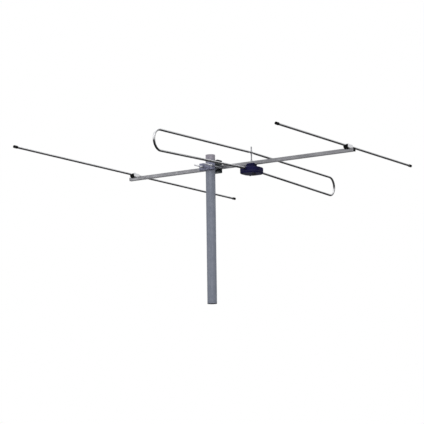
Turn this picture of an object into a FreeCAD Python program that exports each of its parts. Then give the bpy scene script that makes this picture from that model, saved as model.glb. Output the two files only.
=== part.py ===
"""A three-rod FM beam antenna on a mast stub: boom, reflector, folded dipole, director, feed box, clamp.

Frame: millimetres, origin at the centre of the mast's foot, +Z up the mast, +X along the boom
from the reflector to the director, +Y along the rods. The boom runs past the mast on its +Y side.
"""
import FreeCAD, Part
import math
import os
from types import SimpleNamespace

import Sketcher

SIZES = {
    # Mast
    "mast_length": 657,
    "mast_diameter": 42,
    "mast_wall": 2,
    # Boom, a square tube
    "mast_above_boom": 54,
    "boom_size": 16,
    "boom_wall": 1.5,
    "boom_round": 1.5,
    "boom_mast_gap": 4,
    "rear_overhang": 22,
    "front_overhang": 29,
    "plug_flange": 2.5,
    "plug_depth": 12,
    "plug_round": 1,
    # Places along the boom
    "reflector_to_mast": 438,
    "mast_to_dipole": 193,
    "dipole_to_director": 479,
    # Straight rods and their tip caps
    "reflector_length": 1680,
    "director_length": 1156,
    "rod_diameter": 10,
    "rod_wall": 1,
    "cap_length": 20,
    "cap_wall": 1,
    "cap_end": 2,
    "cap_chamfer": 1.2,
    # Cradle of a straight rod, and the strap over it
    "cradle_length": 48,
    "cradle_width": 20,
    "cradle_floor": 5,
    "cradle_rim": 3.5,
    "cradle_leg": 4,
    "cradle_lip": 4,
    "lug_depth": 11,
    "lug_round": 2.5,
    "strap_length": 40,
    "strap_sheet": 1.5,
    "strap_bend": 1,
    "strap_corner": 4,
    "strap_foot": 1,
    # Folded dipole
    "dipole_length": 1460,
    "dipole_rise": 47.5,
    "dipole_spacing": 75,
    "upper_droop": 1.0,
    "lower_droop": 1.9,
    "flat_length": 22,
    "flat_width": 13,
    "flat_thickness": 4,
    "flat_round": 1.8,
    "crimp_length": 14,
    "arm_gap": 48,
    "tab_length": 16,
    "tab_thickness": 3,
    "tab_root": 4,
    # Feed box, its shoulder and bottom measured from the lower arms at the middle
    "box_length": 100,
    "box_width": 92,
    "box_shoulder": 7.5,
    "box_bottom": 19.5,
    "box_wall": 2.4,
    "box_corner": 40,
    "box_round": 5,
    "saddle_length": 42,
    "saddle_width": 34,
    "saddle_top": 0.5,
    "saddle_corner": 10,
    "saddle_round": 6,
    "saddle_wall": 3,
    "collar_length": 6,
    "collar_wall": 2.5,
    "gasket_thickness": 1,
    "cover_thickness": 3,
    "cover_depth": 7,
    "cover_rim": 16,
    "cover_lip": 3,
    "cover_round": 5,
    "boss_diameter": 8,
    "boss_inset": 18,
    "cover_screw_diameter": 3.5,
    "cover_screw_grip": 12,
    # Inside the box
    "board_width": 40,
    "board_length": 40,
    "board_thickness": 1.6,
    "core_width": 9,
    "core_length": 16,
    "core_height": 8,
    "core_bore": 3.4,
    "core_round": 2.2,
    "core_offset": 11,
    "terminal_diameter": 4,
    # Inlet for the lead
    "inlet_diameter": 7,
    "inlet_offset": 12,
    "grommet_neck": 3,
    "grommet_flange": 2.5,
    "grommet_lip": 2,
    "grommet_length": 8,
    # Stud through the box, the boom and the upper rod
    "stud_diameter": 6,
    "stud_above": 26,
    # Mast clamp
    "bracket_sheet": 2.5,
    "bracket_length": 66,
    "bracket_height": 56,
    "bracket_lift": 3.5,
    "bracket_round": 5,
    "jaw_sheet": 2,
    "jaw_length": 80,
    "jaw_height": 32,
    "jaw_round": 4,
    "jaw_apex_gap": 2,
    "clamp_tip": 7,
    "vee_half_angle": 60,
    "tooth_pitch": 5,
    "tooth_depth": 1.8,
    "clamp_bolt_diameter": 6,
    "clamp_bolt_spacing": 54,
    "clamp_bolt_reach": 56,
    "boom_screw_diameter": 5,
    "boom_screw_spacing": 28,
    # Bolts through the straight rods
    "rod_bolt_diameter": 5,
    "bolt_end": 3,
    # Clearances
    "mast_clearance": 0.3,
    "fit_clearance": 0.15,
    "hole_clearance": 0.4,
    "thread_clearance": 0.1,
}

doc = FreeCAD.newDocument("fm_beam_antenna")
sheet = doc.addObject("Spreadsheet::Sheet", "Sizes")
nodes = []


class Size:
    """A size of the antenna: its formula on the sheet, and its present value."""

    def __init__(self, text, value):
        self.text = text
        self.value = value

    def __add__(self, other):
        other = as_size(other)
        return Size(f"({self.text} + {other.text})", self.value + other.value)

    def __sub__(self, other):
        other = as_size(other)
        return Size(f"({self.text} - {other.text})", self.value - other.value)

    def __mul__(self, other):
        other = as_size(other)
        return Size(f"({self.text} * {other.text})", self.value * other.value)

    def __truediv__(self, other):
        other = as_size(other)
        return Size(f"({self.text} / {other.text})", self.value / other.value)

    def __neg__(self):
        return Size(f"(0 - {self.text})", -self.value)

    def __rmul__(self, other):
        return as_size(other) * self


def as_size(value):
    return value if isinstance(value, Size) else Size(repr(value), value)


def tangent(angle):
    return Size(f"tan({angle.text} * 1 deg)", math.tan(math.radians(angle.value)))


def sine(angle):
    return Size(f"sin({angle.text} * 1 deg)", math.sin(math.radians(angle.value)))


def cosine(angle):
    return Size(f"cos({angle.text} * 1 deg)", math.cos(math.radians(angle.value)))


def fill_sheet():
    """Writes every driving size to the sheet, and gives them back as sizes to build with."""
    sizes = {}
    for row, (name, value) in enumerate(SIZES.items(), 1):
        sheet.set(f"A{row}", name)
        sheet.set(f"B{row}", str(value))
        sheet.setAlias(f"B{row}", name)
        sizes[name] = Size(f"Sizes.{name}", value)
    doc.recompute()
    return SimpleNamespace(**sizes)


S = fill_sheet()

# Places and fits that follow from the driving sizes, measured from the boom's axis beside the mast
mast_radius = S.mast_diameter / 2
boom_height = S.mast_length - S.mast_above_boom
boom_half = S.boom_size / 2
boom_bore_half = boom_half - S.boom_wall
boom_offset = mast_radius + S.boom_mast_gap + boom_half
rod_radius = S.rod_diameter / 2
rod_level = boom_half + S.cradle_floor + rod_radius
dipole_x = S.mast_to_dipole
director_x = S.mast_to_dipole + S.dipole_to_director
reflector_x = -S.reflector_to_mast
boom_rear = reflector_x - S.rear_overhang
boom_front = director_x + S.front_overhang
upper_level = S.dipole_rise
lower_level = S.dipole_rise - S.dipole_spacing
upper_fall = tangent(S.upper_droop)
lower_fall = tangent(S.lower_droop)
shoulder_level = lower_level + S.box_shoulder
cover_level = lower_level - S.box_bottom
box_rim = cover_level + S.cover_depth + S.gasket_thickness
box_roof = shoulder_level - S.box_wall
saddle_roof = -boom_half - S.saddle_wall
boss_x = S.box_width / 2 - S.boss_inset
boss_y = S.box_length / 2 - S.boss_inset
tab_width = S.rod_diameter - S.rod_wall
tab_hole_y = S.arm_gap / 2 - S.tab_length / 2
tab_level = lower_level - S.arm_gap / 2 * lower_fall
board_top = tab_level - S.tab_thickness / 2
board_floor = board_top - S.board_thickness
vee_reach = (mast_radius + S.mast_clearance) / sine(S.vee_half_angle)
bracket_back = boom_half + S.bracket_sheet
bracket_tip = S.clamp_tip - boom_offset
jaw_apex = -boom_offset - vee_reach
jaw_web = jaw_apex - S.jaw_apex_gap
jaw_face = jaw_web - S.jaw_sheet
jaw_tip = -boom_offset - S.clamp_tip
clamp_bolt_x = S.clamp_bolt_spacing / 2
boom_screw_x = S.boom_screw_spacing / 2
washer_share = 0.25
nut_share = 0.8
head_share = 0.7
across_flats_share = 1.65
pan_radius_share = 0.95
pan_round_share = 0.6

START, END, CENTRE = range(1, 4)
FAR = FreeCAD.Rotation(FreeCAD.Vector(1, 0, 0), -90)
NEAR = FreeCAD.Rotation(FreeCAD.Vector(1, 0, 0), 90)
UP = FreeCAD.Rotation()
DOWN = FreeCAD.Rotation(FreeCAD.Vector(1, 0, 0), 180)


def bind(thing, name, size):
    thing.setExpression(name, as_size(size).text)


def place(thing, x, y, z, turn=UP):
    """Puts a piece at a place given from the boom's axis beside the mast."""
    thing.Placement = FreeCAD.Placement(FreeCAD.Vector(), turn)
    bind(thing, "Placement.Base.x", x)
    bind(thing, "Placement.Base.y", as_size(y) + boom_offset)
    bind(thing, "Placement.Base.z", as_size(z) + boom_height)


def keep(thing, label):
    thing.Label = label
    nodes.append(thing)
    return thing


def new_body(label, x, y, z, turn=UP):
    body = doc.addObject("PartDesign::Body", label)
    place(body, x, y, z, turn)
    return keep(body, label)


def origin_plane(body, role):
    return next(plane for plane in body.Origin.OriginFeatures if plane.Role == role)


def sketch_on(body, role, offset=0):
    """Starts a sketch on an origin plane of a body, moved along the plane's normal."""
    sketch = body.newObject("Sketcher::SketchObject", "sketch")
    sketch.AttachmentSupport = (origin_plane(body, role), [""])
    sketch.MapMode = "FlatFace"
    bind(sketch, "AttachmentOffset.Base.z", offset)
    return sketch


def spot(x, y):
    return FreeCAD.Vector(as_size(x).value, as_size(y).value, 0)


def hold(sketch, curve, end, x, y):
    """Holds a point of a curve at its distances from the sketch's origin."""
    for kind, size in (("DistanceX", as_size(x)), ("DistanceY", as_size(y))):
        index = sketch.addConstraint(Sketcher.Constraint(kind, -1, 1, curve, end, size.value))
        bind(sketch, f"Constraints[{index}]", size)


def hold_radius(sketch, curve, radius):
    index = sketch.addConstraint(Sketcher.Constraint("Radius", curve, radius.value))
    bind(sketch, f"Constraints[{index}]", radius)


def join(sketch, curve, end, other, other_end):
    sketch.addConstraint(Sketcher.Constraint("Coincident", curve, end, other, other_end))


def draw_outline(sketch, points):
    """Draws a closed polygon."""
    first = sketch.GeometryCount
    for start, end in zip(points, points[1:] + points[:1]):
        sketch.addGeometry(Part.LineSegment(spot(*start), spot(*end)), False)
    for index, (x, y) in enumerate(points):
        join(sketch, first + (index - 1) % len(points), END, first + index, START)
        hold(sketch, first + index, START, x, y)


def draw_rectangle(sketch, low, high):
    draw_outline(sketch, [low, (high[0], low[1]), high, (low[0], high[1])])


def draw_circle(sketch, radius, x=0, y=0):
    curve = sketch.addGeometry(Part.Circle(spot(x, y), FreeCAD.Vector(0, 0, 1), radius.value), False)
    hold(sketch, curve, CENTRE, x, y)
    hold_radius(sketch, curve, radius)


def draw_rounded(sketch, half_x, half_y, corner, middle_y=0):
    """Draws a rectangle with round corners."""
    quarter = math.pi / 2
    corners = [(1, 1), (-1, 1), (-1, -1), (1, -1)]
    first = sketch.GeometryCount
    for index, (sx, sy) in enumerate(corners):
        centre = spot((half_x - corner) * sx, (half_y - corner) * sy + middle_y)
        round_corner = Part.Circle(centre, FreeCAD.Vector(0, 0, 1), corner.value)
        sketch.addGeometry(Part.ArcOfCircle(round_corner, index * quarter, (index + 1) * quarter), False)
    for index, (sx, sy) in enumerate(corners):
        following = (index + 1) % len(corners)
        start = sketch.getPoint(first + index, END)
        end = sketch.getPoint(first + following, START)
        side = sketch.addGeometry(Part.LineSegment(start, end), False)
        join(sketch, first + index, END, side, START)
        join(sketch, side, END, first + following, START)
    for index, (sx, sy) in enumerate(corners):
        hold(sketch, first + index, CENTRE, (half_x - corner) * sx, (half_y - corner) * sy + middle_y)
        hold_radius(sketch, first + index, corner)
        beside, over = (START, END) if index % 2 == 0 else (END, START)
        sketch.addConstraint(Sketcher.Constraint("Horizontal", first + index, CENTRE, first + index, beside))
        sketch.addConstraint(Sketcher.Constraint("Vertical", first + index, CENTRE, first + index, over))


def pad(body, sketch, length, both_ways=False, backwards=False):
    feature = body.newObject("PartDesign::Pad", "pad")
    feature.Profile = sketch
    bind(feature, "Length", length)
    if both_ways:
        feature.SideType = "Symmetric"
    feature.Reversed = backwards
    return feature


def cut_through(body, sketch):
    """Cuts a sketch through the whole body, both ways from its plane."""
    feature = body.newObject("PartDesign::Pocket", "cut")
    feature.Profile = sketch
    feature.SideType = "Symmetric"
    feature.Type = "ThroughAll"
    return feature


def cut_depth(body, sketch, depth, backwards=False):
    feature = body.newObject("PartDesign::Pocket", "cut")
    feature.Profile = sketch
    bind(feature, "Length", depth)
    feature.Reversed = backwards
    return feature


def revolve(body, sketch):
    feature = body.newObject("PartDesign::Revolution", "turning")
    feature.Profile = sketch
    feature.ReferenceAxis = (sketch, ["V_Axis"])
    feature.Angle = 360
    return feature


def round_edges(body, radius, chosen):
    """Rounds the edges of the body's last feature that are chosen by their middle and direction."""
    doc.recompute()
    base = body.Tip
    names = []
    for index, edge in enumerate(base.Shape.Edges, 1):
        middle = edge.valueAt((edge.FirstParameter + edge.LastParameter) / 2)
        direction = edge.tangentAt(edge.FirstParameter)
        if chosen(middle, direction):
            names.append(f"Edge{index}")
    feature = body.newObject("PartDesign::Fillet", "rounding")
    feature.Base = (base, names)
    bind(feature, "Radius", radius)
    return feature


def near(a, size):
    return abs(a - as_size(size).value) < 0.01


def drill_down(body, places, diameter):
    """Drills upright holes through a body."""
    sketch = sketch_on(body, "XY_Plane")
    for x, y in places:
        draw_circle(sketch, diameter / 2 + S.hole_clearance / 2, x, y)
    cut_through(body, sketch)


def drill_across(body, places, diameter):
    """Drills holes along the rods' direction through a body."""
    sketch = sketch_on(body, "XZ_Plane")
    for x, z in places:
        draw_circle(sketch, diameter / 2 + S.hole_clearance / 2, x, z)
    cut_through(body, sketch)


def cylinder(name, radius, height, low=0):
    shape = doc.addObject("Part::Cylinder", name)
    bind(shape, "Radius", radius)
    bind(shape, "Height", height)
    bind(shape, "Placement.Base.z", low)
    return shape


def hexagon(name, across_flats, height, low=0):
    shape = doc.addObject("Part::Prism", name)
    shape.Polygon = 6
    bind(shape, "Circumradius", across_flats / as_size(math.sqrt(3)))
    bind(shape, "Height", height)
    bind(shape, "Placement.Base.z", low)
    return shape


def combine(kind, name, base, tool):
    result = doc.addObject(kind, name)
    result.Base = base
    result.Tool = tool
    return result


def hex_bolt(name, diameter, length):
    """A bolt whose shank goes up from the underside of its head."""
    head_height = diameter * head_share
    head = hexagon(f"{name}_head", diameter * across_flats_share, head_height, -head_height)
    shank = cylinder(f"{name}_shank", diameter / 2, length)
    return combine("Part::Fuse", name, head, shank)


def pan_screw(name, diameter, length):
    """A round-headed screw whose shank goes up from the underside of its head."""
    head_height = diameter * head_share
    head = cylinder(f"{name}_head", diameter * pan_radius_share, head_height, -head_height)
    rounded = doc.addObject("Part::Fillet", f"{name}_rounded")
    rounded.Base = head
    doc.recompute()
    top = next(index for index, edge in enumerate(head.Shape.Edges, 1)
               if edge.Closed and edge.BoundBox.ZMax < -head_height.value / 2)
    round_radius = head_height.value * pan_round_share
    rounded.Edges = [(top, round_radius, round_radius)]
    shank = cylinder(f"{name}_shank", diameter / 2, length)
    return combine("Part::Fuse", name, rounded, shank)


def hex_nut(name, diameter):
    """A nut that stands up from its seat."""
    height = diameter * nut_share
    blank = hexagon(f"{name}_blank", diameter * across_flats_share, height)
    bore = cylinder(f"{name}_bore", diameter / 2 + S.thread_clearance, height)
    return combine("Part::Cut", name, blank, bore)


def flat_washer(name, diameter):
    height = diameter * washer_share
    disc = cylinder(f"{name}_disc", diameter, height)
    bore = cylinder(f"{name}_bore", diameter / 2 + S.fit_clearance, height)
    return combine("Part::Cut", name, disc, bore)


def group(label, pieces):
    together = doc.addObject("Part::Compound", label)
    together.Links = pieces
    return keep(together, label)


# Mast

def build_mast():
    body = new_body("mast_tube", 0, -boom_offset, -boom_height)
    ring = sketch_on(body, "XY_Plane")
    draw_circle(ring, mast_radius)
    draw_circle(ring, mast_radius - S.mast_wall)
    pad(body, ring, S.mast_length)


# Boom and its plugs

def on_boom_corner(middle, direction):
    return near(abs(middle.y), boom_half) and near(abs(middle.z), boom_half)


def build_boom():
    body = new_body("boom_tube", 0, 0, 0)
    section = sketch_on(body, "YZ_Plane", boom_rear)
    draw_rectangle(section, (-boom_half, -boom_half), (boom_half, boom_half))
    draw_rectangle(section, (-boom_bore_half, -boom_bore_half), (boom_bore_half, boom_bore_half))
    pad(body, section, boom_front - boom_rear)
    round_edges(body, S.boom_round, on_boom_corner)
    top_holes = sketch_on(body, "XY_Plane", boom_half)
    for rod_x in (reflector_x, director_x):
        draw_circle(top_holes, S.rod_bolt_diameter / 2 + S.hole_clearance / 2, rod_x)
    cut_depth(body, top_holes, boom_half)
    drill_down(body, [(dipole_x, 0)], S.stud_diameter)
    drill_across(body, [(-boom_screw_x, 0), (boom_screw_x, 0)], S.boom_screw_diameter)
    drill_across(body, [(-clamp_bolt_x, 0), (clamp_bolt_x, 0)], S.clamp_bolt_diameter)


def build_plug(label, end, outwards):
    """A plug whose flange covers the end of the boom."""
    body = new_body(label, end, 0, 0)
    spigot_half = boom_bore_half - S.fit_clearance
    spigot = sketch_on(body, "YZ_Plane")
    draw_rectangle(spigot, (-spigot_half, -spigot_half), (spigot_half, spigot_half))
    pad(body, spigot, S.plug_depth, backwards=outwards > 0)
    flange = sketch_on(body, "YZ_Plane")
    draw_rectangle(flange, (-boom_half, -boom_half), (boom_half, boom_half))
    pad(body, flange, S.plug_flange, backwards=outwards < 0)
    flange_face = S.plug_flange * outwards
    round_edges(body, S.boom_round, on_boom_corner)
    round_edges(body, S.plug_round, lambda middle, direction: near(middle.x, flange_face))


# Straight rods with their caps, cradles, straps and bolts

def build_rod(name, x, length):
    body = new_body(f"{name}_rod", x, 0, rod_level)
    ring = sketch_on(body, "XZ_Plane")
    draw_circle(ring, rod_radius)
    draw_circle(ring, rod_radius - S.rod_wall)
    pad(body, ring, length - 2 * S.cap_end, both_ways=True)
    drill_down(body, [(0, 0)], S.rod_bolt_diameter)
    build_cap(f"{name}_cap_near", x, -length / 2, NEAR)
    build_cap(f"{name}_cap_far", x, length / 2, FAR)


def build_cap(label, x, tip, turn):
    """A cap that slips over the end of a rod, modelled with its closed end at its origin."""
    body = new_body(label, x, tip, rod_level, turn)
    bore = rod_radius + S.fit_clearance
    skin = bore + S.cap_wall
    half_section = sketch_on(body, "XZ_Plane")
    draw_outline(half_section, [
        (0, 0), (0, -S.cap_end), (bore, -S.cap_end), (bore, -S.cap_length), (skin, -S.cap_length),
        (skin, -S.cap_chamfer), (skin - S.cap_chamfer, 0)])
    revolve(body, half_section)


def build_cradle(name, x):
    """A moulded saddle: lips beside the boom, a lug at each end, and a groove for the rod."""
    body = new_body(f"{name}_cradle", x, 0, 0)
    slot = boom_half + S.fit_clearance
    foot = slot + S.cradle_leg
    lip_level = boom_half - S.cradle_lip
    end = S.cradle_length / 2
    rim = rod_level + S.cradle_rim
    lug_floor = rim - S.lug_depth
    side = sketch_on(body, "YZ_Plane")
    draw_outline(side, [
        (-end, rim), (-end, lug_floor), (-foot, lip_level), (-slot, lip_level), (-slot, boom_half),
        (slot, boom_half), (slot, lip_level), (foot, lip_level), (end, lug_floor), (end, rim)])
    pad(body, side, S.cradle_width, both_ways=True)
    edge_x = S.cradle_width / 2
    round_edges(body, S.lug_round, lambda middle, direction:
                near(abs(middle.y), end) and near(abs(middle.x), edge_x))
    groove_radius = rod_radius + S.fit_clearance
    groove = sketch_on(body, "XZ_Plane")
    draw_circle(groove, groove_radius, 0, rod_level)
    cut_through(body, groove)
    mouth = sketch_on(body, "XZ_Plane")
    draw_rectangle(mouth, (-groove_radius, rod_level), (groove_radius, rim + S.cradle_rim))
    cut_through(body, mouth)
    drill_down(body, [(0, 0)], S.rod_bolt_diameter)


def build_strap(name, x):
    """A strap bent to a channel over the rod, its flanks beside the cradle and just clear of the boom."""
    body = new_body(f"{name}_strap", x, 0, 0)
    crown = rod_level + rod_radius + S.fit_clearance
    top = crown + S.strap_sheet
    foot = boom_half + S.strap_foot
    inside = S.cradle_width / 2 + S.fit_clearance
    outside = inside + S.strap_sheet
    end = S.strap_length / 2
    section = sketch_on(body, "XZ_Plane")
    draw_outline(section, [
        (-outside, foot), (-inside, foot), (-inside, crown), (inside, crown),
        (inside, foot), (outside, foot), (outside, top), (-outside, top)])
    pad(body, section, S.strap_length, both_ways=True)
    round_edges(body, S.strap_bend, lambda middle, direction:
                near(abs(middle.x), inside) and near(middle.z, crown))
    round_edges(body, S.strap_bend + S.strap_sheet, lambda middle, direction:
                near(abs(middle.x), outside) and near(middle.z, top))
    round_edges(body, S.strap_corner, lambda middle, direction:
                near(abs(middle.y), end) and near(middle.z, foot))
    drill_down(body, [(0, 0)], S.rod_bolt_diameter)


def build_rod_fixing(name, x):
    """The bolt from the strap down through the rod into the boom, with its washer and nut in there."""
    diameter = S.rod_bolt_diameter
    head_seat = rod_level + rod_radius + S.fit_clearance + S.strap_sheet
    washer_height = diameter * washer_share
    nut_seat = boom_bore_half - washer_height
    nut_end = nut_seat - diameter * nut_share
    bolt = keep(hex_bolt(f"{name}_bolt", diameter, head_seat - nut_end + S.bolt_end), f"{name}_bolt")
    place(bolt, x, 0, head_seat, DOWN)
    washer = keep(flat_washer(f"{name}_washer", diameter), f"{name}_washer")
    place(washer, x, 0, boom_bore_half, DOWN)
    nut = keep(hex_nut(f"{name}_nut", diameter), f"{name}_nut")
    place(nut, x, 0, nut_seat, DOWN)


# Folded dipole

def build_dipole():
    """One tube bent to a loop. The far half is swept, and mirrored across the boom to the near half."""
    body = new_body("dipole_loop", dipole_x, 0, 0)
    reach = S.dipole_length / 2 - rod_radius
    flat_half = S.flat_length / 2
    crimp_end = flat_half + S.crimp_length
    arm_end = S.arm_gap / 2

    # The end bend touches both arms, and its axis reaches as far as the dipole less the rod's radius
    bend_share = as_size(1) / cosine(S.upper_droop) + as_size(1) / cosine(S.lower_droop)
    spread = S.dipole_spacing + (lower_fall - upper_fall) * reach
    bend = spread / (bend_share + lower_fall - upper_fall)
    bend_y = reach - bend
    bend_z = upper_level - upper_fall * bend_y - bend / cosine(S.upper_droop)
    upper_touch = (bend_y + bend * sine(S.upper_droop), bend_z + bend * cosine(S.upper_droop))
    lower_touch = (bend_y - bend * sine(S.lower_droop), bend_z - bend * cosine(S.lower_droop))
    upper_start = (crimp_end, upper_level - upper_fall * crimp_end)
    lower_end = (arm_end, lower_level - lower_fall * arm_end)

    route = sketch_on(body, "YZ_Plane")
    upper_arm = route.addGeometry(Part.LineSegment(spot(*upper_start), spot(*upper_touch)), False)
    turn = Part.Circle(spot(bend_y, bend_z), FreeCAD.Vector(0, 0, 1), bend.value)
    turn_start = -math.pi / 2 - math.radians(S.lower_droop.value)
    turn_end = math.pi / 2 - math.radians(S.upper_droop.value)
    end_bend = route.addGeometry(Part.ArcOfCircle(turn, turn_start, turn_end), False)
    lower_arm = route.addGeometry(Part.LineSegment(spot(*lower_touch), spot(*lower_end)), False)
    join(route, upper_arm, END, end_bend, END)
    join(route, end_bend, START, lower_arm, START)
    hold(route, upper_arm, START, *upper_start)
    hold(route, upper_arm, END, *upper_touch)
    hold(route, lower_arm, START, *lower_touch)
    hold(route, lower_arm, END, *lower_end)
    hold_radius(route, end_bend, bend)

    section = sketch_on(body, "XZ_Plane", -crimp_end)
    draw_circle(section, rod_radius, 0, upper_start[1])
    draw_circle(section, rod_radius - S.rod_wall, 0, upper_start[1])
    tube = body.newObject("PartDesign::AdditivePipe", "bent_tube")
    tube.Profile = section
    tube.Spine = route

    crimp_round = sketch_on(body, "XZ_Plane", -crimp_end)
    draw_circle(crimp_round, rod_radius, 0, upper_start[1])
    crimp_flat = sketch_on(body, "XZ_Plane", -flat_half)
    draw_rounded(crimp_flat, S.flat_width / 2, S.flat_thickness / 2, S.flat_round, upper_level)
    crimp = body.newObject("PartDesign::AdditiveLoft", "crimp")
    crimp.Profile = crimp_round
    crimp.Sections = [crimp_flat]

    tab = sketch_on(body, "XY_Plane", tab_level - S.tab_thickness / 2)
    tab_half = tab_width / 2
    draw_rectangle(tab, (-tab_half, arm_end - S.tab_length), (tab_half, arm_end + S.tab_root))
    terminal = pad(body, tab, S.tab_thickness)

    both_halves = body.newObject("PartDesign::Mirrored", "both_halves")
    both_halves.Originals = [tube, crimp, terminal]
    both_halves.MirrorPlane = (origin_plane(body, "XZ_Plane"), [""])
    body.Tip = both_halves
    doc.recompute()

    flat = sketch_on(body, "XZ_Plane")
    draw_rounded(flat, S.flat_width / 2, S.flat_thickness / 2, S.flat_round, upper_level)
    pad(body, flat, S.flat_length, both_ways=True)
    drill_upper = sketch_on(body, "XY_Plane")
    draw_circle(drill_upper, S.stud_diameter / 2 + S.hole_clearance / 2)
    cut_through(body, drill_upper)
    drill_down(body, [(0, -tab_hole_y), (0, tab_hole_y)], S.terminal_diameter)


# Feed box

def build_housing():
    """The upper shell of the box: round-cornered, open below, with a domed saddle astride the boom."""
    body = new_body("box_housing", dipole_x, 0, 0)
    half_x = S.box_width / 2
    half_y = S.box_length / 2
    shell = sketch_on(body, "XY_Plane", box_rim)
    draw_rounded(shell, half_x, half_y, S.box_corner)
    pad(body, shell, shoulder_level - box_rim)
    round_edges(body, S.box_round, lambda middle, direction: near(middle.z, shoulder_level))

    saddle = sketch_on(body, "XY_Plane", shoulder_level - S.box_round)
    draw_rounded(saddle, S.saddle_length / 2, S.saddle_width / 2, S.saddle_corner)
    saddle_top = -S.saddle_top
    pad(body, saddle, saddle_top - shoulder_level + S.box_round)
    round_edges(body, S.saddle_round, lambda middle, direction: near(middle.z, saddle_top))

    arm_level = lower_level - lower_fall * half_y
    arm_hole = rod_radius + S.hole_clearance
    collars = sketch_on(body, "XZ_Plane")
    draw_circle(collars, arm_hole + S.collar_wall, 0, arm_level)
    pad(body, collars, S.box_length + 2 * S.collar_length, both_ways=True)

    inside = sketch_on(body, "XY_Plane", box_rim)
    draw_rounded(inside, half_x - S.box_wall, half_y - S.box_wall, S.box_corner - S.box_wall)
    cut_depth(body, inside, box_roof - box_rim, backwards=True)
    hollow_saddle = sketch_on(body, "XY_Plane", box_rim)
    draw_rounded(hollow_saddle, S.saddle_length / 2 - S.saddle_wall, S.saddle_width / 2 - S.saddle_wall,
                 S.saddle_corner - S.saddle_wall)
    cut_depth(body, hollow_saddle, saddle_roof - box_rim, backwards=True)

    trough = sketch_on(body, "YZ_Plane")
    trough_half = boom_half + S.fit_clearance
    draw_rectangle(trough, (-trough_half, -boom_half), (trough_half, boom_half))
    cut_through(body, trough)

    arm_holes = sketch_on(body, "XZ_Plane")
    draw_circle(arm_holes, arm_hole, 0, arm_level)
    cut_through(body, arm_holes)

    bosses = sketch_on(body, "XY_Plane", box_rim)
    for sx in (-1, 1):
        for sy in (-1, 1):
            draw_circle(bosses, S.boss_diameter / 2, boss_x * sx, boss_y * sy)
    pad(body, bosses, box_roof - box_rim)
    screw_holes = sketch_on(body, "XY_Plane", box_rim)
    screw_bore = S.cover_screw_diameter / 2 + S.thread_clearance
    for sx in (-1, 1):
        for sy in (-1, 1):
            draw_circle(screw_holes, screw_bore, boss_x * sx, boss_y * sy)
    cut_depth(body, screw_holes, S.cover_screw_grip, backwards=True)
    drill_down(body, [(0, 0)], S.stud_diameter)


def build_gasket():
    body = new_body("box_gasket", dipole_x, 0, cover_level + S.cover_depth)
    half_x = S.box_width / 2
    half_y = S.box_length / 2
    ring = sketch_on(body, "XY_Plane")
    draw_rounded(ring, half_x, half_y, S.box_corner)
    draw_rounded(ring, half_x - S.box_wall, half_y - S.box_wall, S.box_corner - S.box_wall)
    pad(body, ring, S.gasket_thickness)


def build_cover():
    """The lower lid, a shallow dish with a lip that fits inside the housing and a hole for the grommet."""
    body = new_body("box_cover", dipole_x, 0, cover_level)
    half_x = S.box_width / 2
    half_y = S.box_length / 2
    plate = sketch_on(body, "XY_Plane")
    draw_rounded(plate, half_x, half_y, S.box_corner)
    pad(body, plate, S.cover_depth)
    round_edges(body, S.cover_round, lambda middle, direction: near(middle.z, 0))
    hollow = sketch_on(body, "XY_Plane", S.cover_thickness)
    draw_rounded(hollow, half_x - S.cover_rim, half_y - S.cover_rim, S.box_corner - S.cover_rim)
    cut_depth(body, hollow, S.cover_depth - S.cover_thickness, backwards=True)
    lip_gap = S.box_wall + S.fit_clearance
    lip = sketch_on(body, "XY_Plane", S.cover_depth)
    draw_rounded(lip, half_x - lip_gap, half_y - lip_gap, S.box_corner - lip_gap)
    draw_rounded(lip, half_x - lip_gap - S.box_wall, half_y - lip_gap - S.box_wall,
                 S.box_corner - lip_gap - S.box_wall)
    pad(body, lip, S.gasket_thickness + S.cover_lip)
    boss_room = sketch_on(body, "XY_Plane", S.cover_depth)
    for sx in (-1, 1):
        for sy in (-1, 1):
            draw_circle(boss_room, S.boss_diameter / 2 + S.hole_clearance, boss_x * sx, boss_y * sy)
    cut_depth(body, boss_room, S.gasket_thickness + S.cover_lip, backwards=True)
    drill_down(body, [(boss_x * sx, boss_y * sy) for sx in (-1, 1) for sy in (-1, 1)],
               S.cover_screw_diameter)
    inlet = sketch_on(body, "XY_Plane")
    draw_circle(inlet, S.inlet_diameter / 2 + S.grommet_neck + S.fit_clearance, S.inlet_offset, 0)
    cut_through(body, inlet)


def build_grommet():
    """The soft inlet for the lead, its neck in the cover between an inner lip and an outer flange."""
    body = new_body("cable_grommet", dipole_x + S.inlet_offset, 0, cover_level)
    bore = S.inlet_diameter / 2
    neck = bore + S.grommet_neck
    top = S.cover_thickness + S.grommet_lip
    section = sketch_on(body, "XZ_Plane")
    draw_outline(section, [
        (bore, -S.grommet_length), (neck, -S.grommet_length), (neck + S.grommet_flange, 0), (neck, 0),
        (neck, S.cover_thickness), (neck + S.grommet_lip, S.cover_thickness), (neck, top), (bore, top)])
    revolve(body, section)


def build_cover_screws():
    screws = []
    for sx in (-1, 1):
        for sy in (-1, 1):
            length = S.cover_depth + S.gasket_thickness + S.cover_screw_grip - S.bolt_end
            screw = pan_screw(f"cover_screw_{len(screws)}", S.cover_screw_diameter, length)
            place(screw, dipole_x + boss_x * sx, boss_y * sy, cover_level)
            screws.append(screw)
    group("cover_screws", screws)


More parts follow.
